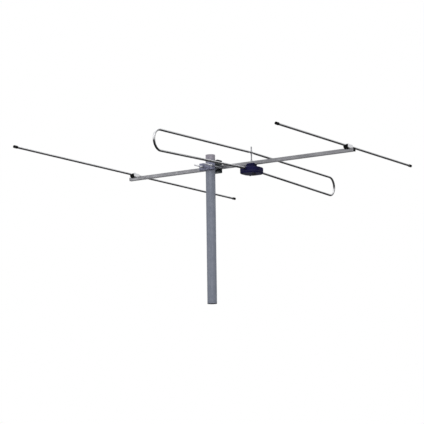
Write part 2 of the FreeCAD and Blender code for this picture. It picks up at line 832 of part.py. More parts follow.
def build_balun():
    """The board hung from the dipole's two tabs, with the transformer core under it."""
    board = new_body("balun_board", dipole_x, 0, board_floor)
    plate = sketch_on(board, "XY_Plane")
    half_x = S.board_width / 2
    half_y = S.board_length / 2
    draw_rectangle(plate, (-half_x, -half_y), (half_x, half_y))
    pad(board, plate, S.board_thickness)
    drill_down(board, [(0, -tab_hole_y), (0, tab_hole_y)], S.terminal_diameter)

    core = new_body("balun_core", dipole_x - S.core_offset, 0, board_floor)
    block = sketch_on(core, "XY_Plane")
    draw_rounded(block, S.core_width / 2, S.core_length / 2, S.core_round)
    pad(core, block, S.core_height, backwards=True)
    bores = sketch_on(core, "YZ_Plane")
    for side in (-1, 1):
        draw_circle(bores, S.core_bore / 2, S.core_length / 4 * side, -S.core_height / 2)
    cut_through(core, bores)


def build_terminals():
    diameter = S.terminal_diameter
    nut_seat = tab_level + S.tab_thickness / 2
    grip = S.tab_thickness + S.board_thickness + diameter * nut_share
    screws = []
    nuts = []
    for side in (-1, 1):
        screw = pan_screw(f"terminal_screw_{len(screws)}", diameter, grip)
        place(screw, dipole_x, tab_hole_y * side, board_floor)
        screws.append(screw)
        nut = hex_nut(f"terminal_nut_{len(nuts)}", diameter)
        place(nut, dipole_x, tab_hole_y * side, nut_seat)
        nuts.append(nut)
    group("terminal_screws", screws)
    group("terminal_nuts", nuts)


def build_stud():
    """The stud up from the box's roof, with a nut on the boom and one on each side of the upper rod."""
    diameter = S.stud_diameter
    stud = keep(hex_bolt("dipole_stud", diameter, upper_level + S.stud_above - saddle_roof), "dipole_stud")
    place(stud, dipole_x, 0, saddle_roof)
    flat_half = S.flat_thickness / 2
    nuts = []
    for seat, turn in ((boom_half, UP), (upper_level - flat_half, DOWN), (upper_level + flat_half, UP)):
        nut = hex_nut(f"stud_nut_{len(nuts)}", diameter)
        place(nut, dipole_x, 0, seat, turn)
        nuts.append(nut)
    group("stud_nuts", nuts)


# Mast clamp

def draw_toothed_vee(sketch, apex, opening, mouth):
    """Draws a notch that opens towards +Y (opening 1) or -Y (-1) up to mouth, with teeth on both sides.

    The tips of the teeth lie on the two straight sides of the notch, which clear the mast.
    """
    across = sine(S.vee_half_angle)
    along = cosine(S.vee_half_angle) * opening
    depth = (mouth - apex) * opening
    count = math.ceil(depth.value / cosine(S.vee_half_angle).value / S.tooth_pitch.value)
    right_side = []
    for tooth in range(count):
        tip = S.tooth_pitch * tooth
        root = S.tooth_pitch * (tooth + 0.5)
        right_side.append((across * tip, apex + along * tip))
        root_x = across * root + S.tooth_depth * cosine(S.vee_half_angle)
        root_y = apex + along * root - S.tooth_depth * across * opening
        right_side.append((root_x, root_y))
    last = S.tooth_pitch * count
    right_side.append((across * last, apex + along * last))
    left_side = [(-x, y) for x, y in reversed(right_side[1:])]
    draw_outline(sketch, right_side + left_side)


def build_clamp_channel(label, web, tip, sheet_thickness, length, height, corner, apex, lift=0):
    """A pressed channel: a flat web, and two flanges that bite the mast with toothed notches."""
    body = new_body(label, 0, 0, 0)
    opening = 1 if tip.value > web.value else -1
    back = web - sheet_thickness * opening
    half_x = length / 2
    top = height / 2 + lift
    bottom = -height / 2 + lift
    roof = top - sheet_thickness
    floor = bottom + sheet_thickness
    channel = sketch_on(body, "YZ_Plane")
    draw_outline(channel, [
        (back, bottom), (back, top), (tip, top), (tip, roof),
        (web, roof), (web, floor), (tip, floor), (tip, bottom)])
    pad(body, channel, length, both_ways=True)
    round_edges(body, sheet_thickness, lambda middle, direction:
                near(middle.y, back) and near(abs(direction.x), 1))
    round_edges(body, corner, lambda middle, direction:
                near(middle.y, tip) and near(abs(middle.x), half_x) and near(abs(direction.z), 1))
    notch = sketch_on(body, "XY_Plane")
    draw_toothed_vee(notch, apex, opening, tip)
    cut_through(body, notch)
    drill_across(body, [(-clamp_bolt_x, 0), (clamp_bolt_x, 0)], S.clamp_bolt_diameter)
    return body


def build_clamp():
    """The bracket, its web behind the boom, and the jaw on the other side of the mast."""
    bracket = build_clamp_channel("clamp_bracket", boom_half, bracket_tip, S.bracket_sheet, S.bracket_length,
                                  S.bracket_height, S.bracket_round, vee_reach - boom_offset, S.bracket_lift)
    drill_across(bracket, [(-boom_screw_x, 0), (boom_screw_x, 0)], S.boom_screw_diameter)
    build_clamp_channel("clamp_jaw", jaw_web, jaw_tip, S.jaw_sheet, S.jaw_length,
                        S.jaw_height, S.jaw_round, jaw_apex)


def build_clamp_fixings():
    """Two long bolts through bracket, boom and jaw, and the two screws that hold the boom in the bracket."""
    diameter = S.clamp_bolt_diameter
    washer_face = jaw_face - diameter * washer_share
    bolts = []
    washers = []
    nuts = []
    screws = []
    screw_nuts = []
    for side in (-1, 1):
        bolt = hex_bolt(f"clamp_bolt_{len(bolts)}", diameter, bracket_back - jaw_face + S.clamp_bolt_reach)
        place(bolt, clamp_bolt_x * side, bracket_back, 0, NEAR)
        bolts.append(bolt)
        washer = flat_washer(f"clamp_washer_{len(washers)}", diameter)
        place(washer, clamp_bolt_x * side, jaw_face, 0, NEAR)
        washers.append(washer)
        nut = hex_nut(f"clamp_nut_{len(nuts)}", diameter)
        place(nut, clamp_bolt_x * side, washer_face, 0, NEAR)
        nuts.append(nut)
        screw_grip = S.bracket_sheet + S.boom_size + S.boom_screw_diameter * nut_share
        screw = pan_screw(f"boom_screw_{len(screws)}", S.boom_screw_diameter, screw_grip + S.bolt_end / 2)
        place(screw, boom_screw_x * side, -boom_half, 0, FAR)
        screws.append(screw)
        screw_nut = hex_nut(f"boom_screw_nut_{len(screw_nuts)}", S.boom_screw_diameter)
        place(screw_nut, boom_screw_x * side, bracket_back, 0, FAR)
        screw_nuts.append(screw_nut)
    group("clamp_bolts", bolts)
    group("clamp_washers", washers)
    group("clamp_nuts", nuts)
    group("boom_screws", screws)
    group("boom_screw_nuts", screw_nuts)


def check_model():
    """Stops if anything failed to build, before any file is written."""
    doc.recompute()
    for thing in doc.Objects:
        if "Invalid" in thing.State or "Error" in thing.State:
            raise RuntimeError(f"{thing.Name} ({thing.Label}) failed: {thing.State}")
    for node in nodes:
        if node.Shape.isNull() or not node.Shape.isValid() or not node.Shape.Solids:
            raise RuntimeError(f"{node.Label} has no valid solid")


def write_parts():
    os.makedirs("parts", exist_ok=True)
    for node in nodes:
        node.Shape.exportStep(f"parts/{node.Label}.step")


build_mast()
build_boom()
build_plug("boom_plug_rear", boom_rear, -1)
build_plug("boom_plug_front", boom_front, 1)
for rod_name, rod_x, rod_length in (("reflector", reflector_x, S.reflector_length),
                                    ("director", director_x, S.director_length)):
    build_rod(rod_name, rod_x, rod_length)
    build_cradle(rod_name, rod_x)
    build_strap(rod_name, rod_x)
    build_rod_fixing(rod_name, rod_x)
build_dipole()
build_housing()
build_gasket()
build_cover()
build_grommet()
build_cover_screws()
build_balun()
build_terminals()
build_stud()
build_clamp()
build_clamp_fixings()
check_model()
write_parts()
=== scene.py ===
import math

import bmesh
import bpy
from mathutils import Matrix, Vector


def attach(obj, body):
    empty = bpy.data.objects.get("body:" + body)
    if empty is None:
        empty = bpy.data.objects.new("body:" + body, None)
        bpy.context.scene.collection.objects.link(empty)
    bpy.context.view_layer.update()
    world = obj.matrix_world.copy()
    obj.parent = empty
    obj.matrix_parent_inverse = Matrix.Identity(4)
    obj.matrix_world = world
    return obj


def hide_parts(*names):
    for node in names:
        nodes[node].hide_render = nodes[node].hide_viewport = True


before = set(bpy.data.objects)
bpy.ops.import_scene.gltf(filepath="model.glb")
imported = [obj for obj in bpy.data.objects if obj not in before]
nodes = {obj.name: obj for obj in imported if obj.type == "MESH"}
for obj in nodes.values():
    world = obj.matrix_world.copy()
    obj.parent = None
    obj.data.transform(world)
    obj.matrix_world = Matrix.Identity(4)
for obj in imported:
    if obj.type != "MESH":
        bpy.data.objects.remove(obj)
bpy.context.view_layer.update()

MM = 0.001

# Camera, at the photograph's place: below the boom, looking up at it from the director's near side
CAMERA_PLACE = (3.924, -5.880, -0.712)
CAMERA_YAW = 33.683
CAMERA_PITCH = 8.965
CAMERA_ROLL = -0.758
CAMERA_LENS = 138.81
CAMERA_SENSOR = 36

# Fasteners: pitches in millimetres by the thread's diameter, and shares of that diameter
PITCHES = {3.5: 1.2, 5: 0.8, 6: 1.0}
HEAD_SHARE = 0.7
FLATS_SHARE = 1.65
PAN_RADIUS_SHARE = 0.95
PAN_ROUND_SHARE = 0.6
RECESS_REACH_SHARE = 0.42
RECESS_WIDTH_SHARE = 0.1
RECESS_TAPER = 0.7
CONE_SHARE = 0.95
CONE_SLOPE = math.tan(math.radians(30))
LEAD_SHARE = 0.12
SIXTH = math.radians(60)
WASHER_BORE_SHARE = 0.53
WASHER_EDGE_SHARE = 0.3
THREAD_DEPTH_SHARE = 0.6
THREAD_CREST = (-0.6, -0.4)
THREAD_TIP_SHARE = 0.9
THREAD_STEPS = 16
RING_STEPS = 36
ROUND_STEPS = 6
WELD = 0.001 * MM
SHARP_ANGLE = math.radians(32)
ROD_BOLT_THREAD = 16
CLAMP_BOLT_THREAD = 70
FULL_THREAD = 200
TURNS = {"up": 0, "down": 180, "far": -90, "near": 90}


def srgb(red, green, blue):
    """A colour given as it looks on a screen, 0 to 255, as the linear one that the shader takes."""
    shares = [value / 255 for value in (red, green, blue)]
    return [s / 12.92 if s <= 0.04045 else ((s + 0.055) / 1.055) ** 2.4 for s in shares] + [1]


def toned(colour, gain, lift=0.0):
    """A screen colour as the shader takes it, with its light multiplied and then raised."""
    return [min(1, share * gain + lift) for share in srgb(*colour)[:3]] + [1]


def add_object(name, bm):
    """Makes an object of a finished bmesh."""
    mesh = bpy.data.meshes.new(name)
    bm.to_mesh(mesh)
    bm.free()
    thing = bpy.data.objects.new(name, mesh)
    bpy.context.scene.collection.objects.link(thing)
    return thing


# Node groups that several finishes share. A span is where a mask starts and where it is full, and
# each scale is a share of the one that the group is given

DRAWN_OUT = 0.012
BROAD_SCALE = 0.22
BROAD_SHARE = 0.45
FINE_SHARE = 0.55
LINES_SPAN = (0.32, 0.68)

PATCHES_SPAN = (0.36, 0.66)
PATCHES_ROUGHNESS = 0.62
SCRATCH_LEAN = (0.5, 0.35, 0.9)
SCRATCH_STRETCH = (1, 0.035, 1)
SCRATCH_SCALE = 26.0
SCRATCHES_SPAN = (0.66, 0.74)

SEAMS_SPAN = (0.0, 0.08)

GRAIN_SMOOTHNESS = 0.6
PORE_SCALE = 1.7
PORE_SHARE = 0.5
CLOUD_SCALE = 0.02
CLOUDS_SPAN = (0.35, 0.65)


def new_group(name, inputs, outputs):
    """A shader node group: inputs by name with their usual values, or None for a vector."""
    tree = bpy.data.node_groups.new(name, "ShaderNodeTree")
    for label, value in inputs.items():
        kind = "NodeSocketVector" if value is None else "NodeSocketFloat"
        socket = tree.interface.new_socket(label, in_out="INPUT", socket_type=kind)
        if value is not None:
            socket.default_value = value
    for label in outputs:
        tree.interface.new_socket(label, in_out="OUTPUT", socket_type="NodeSocketFloat")
    return tree, tree.nodes.new("NodeGroupInput"), tree.nodes.new("NodeGroupOutput")


def put(tree, value, socket):
    """Links an output to a socket, or sets the socket to a plain value."""
    if isinstance(value, bpy.types.NodeSocket):
        tree.links.new(value, socket)
    else:
        socket.default_value = value


def math_node(tree, operation, first, second, clamp=False):
    """A sum on two outputs or plain numbers."""
    node = tree.nodes.new("ShaderNodeMath")
    node.operation = operation
    node.use_clamp = clamp
    put(tree, first, node.inputs[0])
    put(tree, second, node.inputs[1])
    return node.outputs[0]


def ramp(tree, value, low, high):
    """0 below low, 1 above high, with a soft step between them."""
    node = tree.nodes.new("ShaderNodeMapRange")
    node.interpolation_type = "SMOOTHSTEP"
    tree.links.new(value, node.inputs["Value"])
    node.inputs["From Min"].default_value = low
    node.inputs["From Max"].default_value = high
    return node.outputs["Result"]


def noise(tree, vector, scale, detail, roughness=0.55):
    """Cloudy noise, about 0.5 in the middle."""
    node = tree.nodes.new("ShaderNodeTexNoise")
    tree.links.new(vector, node.inputs["Vector"])
    put(tree, scale, node.inputs["Scale"])
    node.inputs["Detail"].default_value = detail
    node.inputs["Roughness"].default_value = roughness
    return node.outputs["Fac"]


def stretched(tree, vector, shares):
    """The coordinates with each axis scaled by its share."""
    node = tree.nodes.new("ShaderNodeVectorMath")
    node.operation = "MULTIPLY"
    tree.links.new(vector, node.inputs[0])
    node.inputs[1].default_value = shares
    return node.outputs[0]


def make_draw_lines():
    """Fine lines that a die leaves along a drawn or extruded tube, whose axis is Z here."""
    tree, given, made = new_group("draw_lines", {"Vector": None, "Scale": 900.0},
                                  ["Lines", "Height"])
    along = stretched(tree, given.outputs["Vector"], (1, 1, DRAWN_OUT))
    fine = noise(tree, along, given.outputs["Scale"], 4.0)
    broad_scale = math_node(tree, "MULTIPLY", given.outputs["Scale"], BROAD_SCALE)
    broad = noise(tree, along, broad_scale, 2.0)
    fine = math_node(tree, "MULTIPLY", fine, FINE_SHARE)
    broad = math_node(tree, "MULTIPLY", broad, BROAD_SHARE)
    both = math_node(tree, "ADD", fine, broad)
    tree.links.new(ramp(tree, both, *LINES_SPAN), made.inputs["Lines"])
    tree.links.new(both, made.inputs["Height"])
    return tree


def make_handling_marks():
    """Cloudy patches where a surface has been touched and has dulled, with a few fine scratches."""
    tree, given, made = new_group("handling_marks", {"Vector": None, "Patch": 18.0},
                                  ["Patches", "Scratches"])
    cloud = noise(tree, given.outputs["Vector"], given.outputs["Patch"], 5.0, PATCHES_ROUGHNESS)
    tree.links.new(ramp(tree, cloud, *PATCHES_SPAN), made.inputs["Patches"])
    leaning = tree.nodes.new("ShaderNodeMapping")
    leaning.inputs["Rotation"].default_value = SCRATCH_LEAN
    leaning.inputs["Scale"].default_value = SCRATCH_STRETCH
    tree.links.new(given.outputs["Vector"], leaning.inputs["Vector"])
    scratch_scale = math_node(tree, "MULTIPLY", given.outputs["Patch"], SCRATCH_SCALE)
    scratch = noise(tree, leaning.outputs["Vector"], scratch_scale, 2.0)
    tree.links.new(ramp(tree, scratch, *SCRATCHES_SPAN), made.inputs["Scratches"])
    return tree


def make_spangle():
    """The crystal flakes of a hot zinc coat, each with its own tone, and the seams between them."""
    tree, given, made = new_group("zinc_spangle", {"Vector": None, "Scale": 140.0},
                                  ["Flakes", "Height"])
    flakes = tree.nodes.new("ShaderNodeTexVoronoi")
    seams = tree.nodes.new("ShaderNodeTexVoronoi")
    seams.feature = "DISTANCE_TO_EDGE"
    for node in (flakes, seams):
        tree.links.new(given.outputs["Vector"], node.inputs["Vector"])
        tree.links.new(given.outputs["Scale"], node.inputs["Scale"])
    parts = tree.nodes.new("ShaderNodeSeparateColor")
    tree.links.new(flakes.outputs["Color"], parts.inputs["Color"])
    tree.links.new(parts.outputs[0], made.inputs["Flakes"])
    tree.links.new(ramp(tree, seams.outputs["Distance"], *SEAMS_SPAN), made.inputs["Height"])
    return tree


def make_moulding_grain():
    """The fine leathery grain of a moulding tool, and the faint flow clouds in the plastic."""
    tree, given, made = new_group("moulding_grain", {"Vector": None, "Scale": 1400.0},
                                  ["Clouds", "Height"])
    cells = tree.nodes.new("ShaderNodeTexVoronoi")
    cells.feature = "SMOOTH_F1"
    cells.inputs["Smoothness"].default_value = GRAIN_SMOOTHNESS
    tree.links.new(given.outputs["Vector"], cells.inputs["Vector"])
    tree.links.new(given.outputs["Scale"], cells.inputs["Scale"])
    pore_scale = math_node(tree, "MULTIPLY", given.outputs["Scale"], PORE_SCALE)
    pores = noise(tree, given.outputs["Vector"], pore_scale, 2.0)
    pores = math_node(tree, "MULTIPLY", pores, PORE_SHARE)
    height = math_node(tree, "ADD", cells.outputs["Distance"], pores)
    tree.links.new(height, made.inputs["Height"])
    cloud_scale = math_node(tree, "MULTIPLY", given.outputs["Scale"], CLOUD_SCALE)
    cloud = noise(tree, given.outputs["Vector"], cloud_scale, 4.0)
    tree.links.new(ramp(tree, cloud, *CLOUDS_SPAN), made.inputs["Clouds"])
    return tree


GROUPS = {tree.name: tree for tree in (make_draw_lines(), make_handling_marks(), make_spangle(),
                                       make_moulding_grain())}


# The colour sockets of a mix node, by their order
MIX_LOW = 6
MIX_HIGH = 7
MIX_RESULT = 2


class Finish:
    """A material under way: one Principled shader, with helpers that wire the groups into it."""

    def __init__(self, name, turn=(0, 0, 0), **constants):
        self.material = bpy.data.materials.new(name)
        self.material.use_nodes = True
        self.tree = self.material.node_tree
        self.shader = self.tree.nodes["Principled BSDF"]
        for label, value in constants.items():
            self.shader.inputs[label.replace("_", " ")].default_value = value
        self.place = self.tree.nodes.new("ShaderNodeTexCoord")
        turned = self.tree.nodes.new("ShaderNodeMapping")
        turned.inputs["Rotation"].default_value = [math.radians(angle) for angle in turn]
        self.tree.links.new(self.place.outputs["Object"], turned.inputs["Vector"])
        self.vector = turned.outputs["Vector"]

    def share(self, kind, axis):
        """One axis of the place or of the normal, on the piece's own coordinates."""
        node = self.tree.nodes.new("ShaderNodeSeparateXYZ")
        self.tree.links.new(self.place.outputs[kind], node.inputs["Vector"])
        return node.outputs[axis]

    def group(self, name, **values):
        """One of the shared groups, on the finish's turned coordinates."""
        node = self.tree.nodes.new("ShaderNodeGroup")
        node.node_tree = GROUPS[name]
        self.tree.links.new(self.vector, node.inputs["Vector"])
        for label, value in values.items():
            node.inputs[label].default_value = value
        return node.outputs

    def colour(self, mask, low, high):
        """A colour that goes from low to high with a mask."""
        node = self.tree.nodes.new("ShaderNodeMix")
        node.data_type = "RGBA"
        self.tree.links.new(mask, node.inputs["Factor"])
        put(self.tree, low, node.inputs[MIX_LOW])
        put(self.tree, high, node.inputs[MIX_HIGH])
        return node.outputs[MIX_RESULT]

    def value(self, mask, low, high):
        """A number that goes from low to high with a mask."""
        node = self.tree.nodes.new("ShaderNodeMapRange")
        self.tree.links.new(mask, node.inputs["Value"])
        node.inputs["To Min"].default_value = low
        node.inputs["To Max"].default_value = high
        return node.outputs["Result"]

    def feed(self, label, output):
        """Links an output to one of the shader's own sockets."""
        self.tree.links.new(output, self.shader.inputs[label])

    def bump(self, height, strength, distance):
        """Adds relief, on top of any relief that the finish has already."""
        node = self.tree.nodes.new("ShaderNodeBump")
        node.inputs["Strength"].default_value = strength
        node.inputs["Distance"].default_value = distance
        self.tree.links.new(height, node.inputs["Height"])
        for earlier in self.shader.inputs["Normal"].links:
            self.tree.links.new(earlier.from_socket, node.inputs["Normal"])
        self.feed("Normal", node.outputs["Normal"])


# Turns that lay the lines of a finish along an axis of the part
ALONG_X = (0, -90, 0)
ALONG_Y = (90, 0, 0)
ALONG_Z = (0, 0, 0)

# Drawn tube: how fine its lines are, and the strength and depth of their relief
DIE_LINES = 900.0
DIE_BUMP = (0.25, 0.05 * MM)

# How much light a dulled line, a bare scratch or a scuff gives back, beside its surroundings
DULL_GAIN = 0.86
BARE_GAIN = 1.35
SCUFF_GAIN = 1.9
SCUFF_LIFT = 0.004


def boom_finish(dark, light, rough):
    """Drawn square tube: die lines along it, and dulled patches."""
    finish = Finish("boom_extrusion", ALONG_X, Metallic=1.0)
    lines = finish.group("draw_lines", Scale=DIE_LINES)
    marks = finish.group("handling_marks")
    worn = finish.colour(marks["Patches"], srgb(*dark), srgb(*light))
    finish.feed("Base Color", finish.colour(lines["Lines"], toned(dark, DULL_GAIN), worn))
    finish.feed("Roughness", finish.value(marks["Patches"], rough + 0.08, rough))
    finish.bump(lines["Height"], *DIE_BUMP)
    return finish.material


# Rods: where across the boom the far half's painted shade begins and ends, in metres, how much
# painted light it takes off, how far the die lines fray the edge of the painted light, and how far
# a surface must face up to take the painted light
FAR_SHADE_SPAN = (-0.3, 0.5)
FAR_SHADE_LOSS = 0.18
RAGGED_SHARE = 0.3
PAINTED_LIGHT_SPAN = (-0.08, 0.38)


def rod_finish():
    """Drawn tube: painted light on top, painted shade beneath and on its far half."""
    finish = Finish("rod_drawing", ALONG_Y, Metallic=1.0)
    lines = finish.group("draw_lines", Scale=DIE_LINES)
    marks = finish.group("handling_marks")
    # Painted shade: the far half of each rod gets less of the painted light, so it renders darker
    towards_far_shade = ramp(finish.tree, finish.share("Object", "Y"), *FAR_SHADE_SPAN)
    far_shade = math_node(finish.tree, "MULTIPLY", towards_far_shade, FAR_SHADE_LOSS)
    facing_light = math_node(finish.tree, "SUBTRACT", finish.share("Normal", "Z"), far_shade)
    ragged = math_node(finish.tree, "MULTIPLY", lines["Height"], RAGGED_SHARE)
    # Painted light and shade: faces turned up get the bright colour and faces turned down the dark
    # one, as light from above would fall; die lines fray the edge
    painted_light = ramp(finish.tree, math_node(finish.tree, "ADD", facing_light, ragged), *PAINTED_LIGHT_SPAN)
    # The dark colour is painted shade with dulled patches in it, the bright one painted light with
    # die lines in it
    painted_shade_below = finish.colour(marks["Patches"], srgb(44, 44, 46), srgb(72, 72, 74))
    bright = finish.colour(lines["Lines"], srgb(184, 185, 187), srgb(211, 211, 213))
    finish.feed("Base Color", finish.colour(painted_light, painted_shade_below, bright))
    finish.feed("Roughness", finish.value(marks["Patches"], 0.42, 0.33))
    finish.bump(lines["Height"], *DIE_BUMP)
    return finish.material


def zinc_finish(name, dark, light, rough, scale, seam=0.3):
    """Zinc on steel: flakes of differing tone, dulled patches and scratches through the coat."""
    finish = Finish(name, Metallic=1.0)
    flakes = finish.group("zinc_spangle", Scale=scale)
    marks = finish.group("handling_marks", Patch=30.0)
    coat = finish.colour(flakes["Flakes"], srgb(*dark), srgb(*light))
    bare = toned(light, BARE_GAIN)
    finish.feed("Base Color", finish.colour(marks["Scratches"], coat, bare))
    finish.feed("Roughness", finish.value(marks["Patches"], rough - 0.06, rough + 0.1))
    finish.bump(flakes["Height"], seam, 0.05 * MM)
    return finish.material


def moulded_finish(name, dark, light, rough, scale, depth, **constants):
    """Moulded plastic or rubber: tool grain, faint flow clouds, and scuffs that dull it."""
    finish = Finish(name, **constants)
    grain = finish.group("moulding_grain", Scale=scale)
    marks = finish.group("handling_marks", Patch=40.0)
    body = finish.colour(grain["Clouds"], srgb(*dark), srgb(*light))
    scuff = toned(light, SCUFF_GAIN, SCUFF_LIFT)
    finish.feed("Base Color", finish.colour(marks["Scratches"], body, scuff))
    finish.feed("Roughness", finish.value(marks["Patches"], rough - 0.05, rough + 0.12))
    finish.bump(grain["Height"], 0.35, depth)
    return finish.material


# Mast: the height at which its coat starts to turn lighter, and that from which it is lighter, in
# metres
LIGHTER_TOP_SPAN = (0.6, 0.65)


def mast_finish():
    """Coated steel tube: a matt blue-grey coat on flakes, upright streaks and a lighter top."""
    finish = Finish("mast_coat", ALONG_Z, Metallic=0.15, Specular_IOR_Level=0.2)
    flakes = finish.group("zinc_spangle", Scale=75.0)
    lines = finish.group("draw_lines", Scale=220.0)
    marks = finish.group("handling_marks", Patch=9.0)
    coat = finish.colour(flakes["Flakes"], srgb(125, 130, 142), srgb(138, 142, 153))
    streaked = finish.colour(lines["Lines"], srgb(115, 120, 132), coat)
    # The coat turns lighter towards the top of the mast
    top = ramp(finish.tree, finish.share("Object", "Z"), *LIGHTER_TOP_SPAN)
    lighter_top_coat = finish.colour(flakes["Flakes"], srgb(139, 135, 144), srgb(152, 148, 157))
    lightened = finish.colour(top, streaked, lighter_top_coat)
    finish.feed("Base Color", finish.colour(marks["Scratches"], lightened, srgb(150, 153, 163)))
    finish.feed("Roughness", finish.value(marks["Patches"], 0.46, 0.62))
    finish.bump(flakes["Height"], 0.18, 0.06 * MM)
    finish.bump(lines["Height"], 0.15, 0.05 * MM)
    return finish.material


def board_finish():
    """A glass-cloth board: green lacquer with the weave showing through."""
    finish = Finish("board_lacquer", Coat_Weight=0.4)
    weave = finish.tree.nodes.new("ShaderNodeTexWave")
    weave.inputs["Scale"].default_value = 700.0
    weave.inputs["Distortion"].default_value = 1.5
    finish.tree.links.new(finish.vector, weave.inputs["Vector"])
    marks = finish.group("handling_marks", Patch=60.0)
    cloth = finish.colour(weave.outputs["Fac"], srgb(38, 74, 46), srgb(52, 96, 60))
    finish.feed("Base Color", finish.colour(marks["Patches"], cloth, srgb(44, 84, 52)))
    finish.feed("Roughness", finish.value(marks["Patches"], 0.3, 0.45))
    finish.bump(weave.outputs["Fac"], 0.2, 0.04 * MM)
    return finish.material


def brass_finish():
    """Turned brass: fine tool lines and dulled patches."""
    finish = Finish("turned_brass", Metallic=1.0)
    lines = finish.group("draw_lines", Scale=1600.0)
    marks = finish.group("handling_marks", Patch=90.0)
    bright = finish.colour(lines["Lines"], srgb(178, 142, 74), srgb(206, 172, 100))
    finish.feed("Base Color", finish.colour(marks["Patches"], bright, srgb(168, 130, 68)))
    finish.feed("Roughness", finish.value(marks["Patches"], 0.24, 0.4))
    finish.bump(lines["Height"], 0.15, 0.03 * MM)
    return finish.material


FINISHES = {
    "mast_steel": mast_finish(),
    "boom_metal": boom_finish((130, 130, 134), (156, 156, 159), 0.38),
    "rod_metal": rod_finish(),
    "black_plastic": moulded_finish("cradle_plastic", (10, 10, 11), (17, 17, 19), 0.55, 1400.0,
                                    0.06 * MM, Specular_IOR_Level=0.06),
    "box_plastic": moulded_finish("box_plastic", (19, 19, 47), (30, 29, 67), 0.5, 1100.0, 0.06 * MM,
                                  Specular_IOR_Level=0.035),
    "jaw_zinc": zinc_finish("jaw_coat", (82, 84, 100), (124, 126, 143), 0.42, 260.0),
    "strap_zinc": zinc_finish("strap_coat", (196, 197, 200), (228, 228, 230), 0.26, 420.0, 0.15),
    "bracket_black": moulded_finish("bracket_lacquer", (49, 56, 59), (64, 72, 76), 0.45, 900.0,
                                    0.04 * MM, Specular_IOR_Level=0.25),
    "fastener_zinc": zinc_finish("fastener_coat", (148, 149, 153), (190, 191, 195), 0.32, 700.0,
                                 0.12),
    "screw_black": moulded_finish("screw_blacking", (16, 16, 17), (28, 28, 30), 0.4, 2400.0,
                                  0.02 * MM, Metallic=0.4),
    "brass": brass_finish(),
    "board": board_finish(),
    "ferrite": moulded_finish("ferrite_body", (44, 43, 44), (58, 57, 58), 0.6, 2200.0, 0.05 * MM),
    "black_rubber": moulded_finish("grommet_rubber", (22, 22, 23), (32, 32, 33), 0.66, 1800.0,
                                   0.05 * MM),
}


def dress_frame():
    """Gives every node of the frame its finish, by the slot that it came with."""
    for thing in nodes.values():
        for index, material in enumerate(thing.data.materials):
            thing.data.materials[index] = FINISHES[material.name.split(".")[0]]


# Threaded fasteners, each built with its seat at the origin and its shank along +Z

def solid_boxes(node):
    """The lowest and highest corner of each separate solid of a node."""
    bm = bmesh.new()
    bm.from_mesh(nodes[node].data)
    bmesh.ops.remove_doubles(bm, verts=bm.verts, dist=WELD)
    seen = set()
    boxes = []
    for first in bm.verts:
        if first in seen:
            continue
        seen.add(first)
        reached = [first]
        for vert in reached:
            for other in [edge.other_vert(vert) for edge in vert.link_edges]:
                if other not in seen:
                    seen.add(other)
                    reached.append(other)
        places = [vert.co for vert in reached]
        boxes.append((Vector(tuple(map(min, *places))), Vector(tuple(map(max, *places)))))
    bm.free()
    return boxes


def turn_profile(bm, points, closed=False):
    """Turns a profile of radii and levels in millimetres round +Z, and gives back its points."""
    others = set(bm.verts)
    profile = [bm.verts.new((radius * MM, 0, level * MM)) for radius, level in points]
    pairs = list(zip(profile, profile[1:]))
    if closed:
        pairs.append((profile[-1], profile[0]))
    edges = [bm.edges.new(pair) for pair in pairs]
    bmesh.ops.spin(bm, geom=profile + edges, cent=(0, 0, 0), axis=(0, 0, 1), angle=math.tau,
                   steps=RING_STEPS, use_merge=True)
    turned = [vert for vert in bm.verts if vert not in others]
    bmesh.ops.remove_doubles(bm, verts=turned, dist=WELD)
    return [vert for vert in turned if vert.is_valid]


def add_hexagon(bm, flats, low, high, both_ends, bore=None):
    """A hexagon between two levels, its corners turned off to a cone below, or at both ends."""
    cone = flats / 2 * CONE_SHARE
    corner = flats / 2 / math.cos(SIXTH / 2)
    outside = [(cone, low), (corner, low), (corner, high)] + ([(cone, high)] if both_ends else [])
    if bore:
        lead = bore * LEAD_SHARE
        low_mouth = [(bore, low + lead), (bore + lead, low)]
        high_mouth = [(bore + lead, high), (bore, high - lead)]
        blank = turn_profile(bm, low_mouth + outside + high_mouth, closed=True)
    else:
        blank = turn_profile(bm, [(0, low)] + outside + [(0, high)])
    for vert in blank:
        if vert.co.xy.length < (cone + corner) / 2 * MM:
            continue
        angle = math.atan2(vert.co.y, vert.co.x)
        out = flats / 2 / math.cos(angle % SIXTH - SIXTH / 2)
        turned_off = (out - cone) * CONE_SLOPE
        if vert.co.z < (low + high) / 2 * MM:
            level = low + turned_off
        else:
            level = high - turned_off if both_ends else high
        vert.co = (math.cos(angle) * out * MM, math.sin(angle) * out * MM, level * MM)


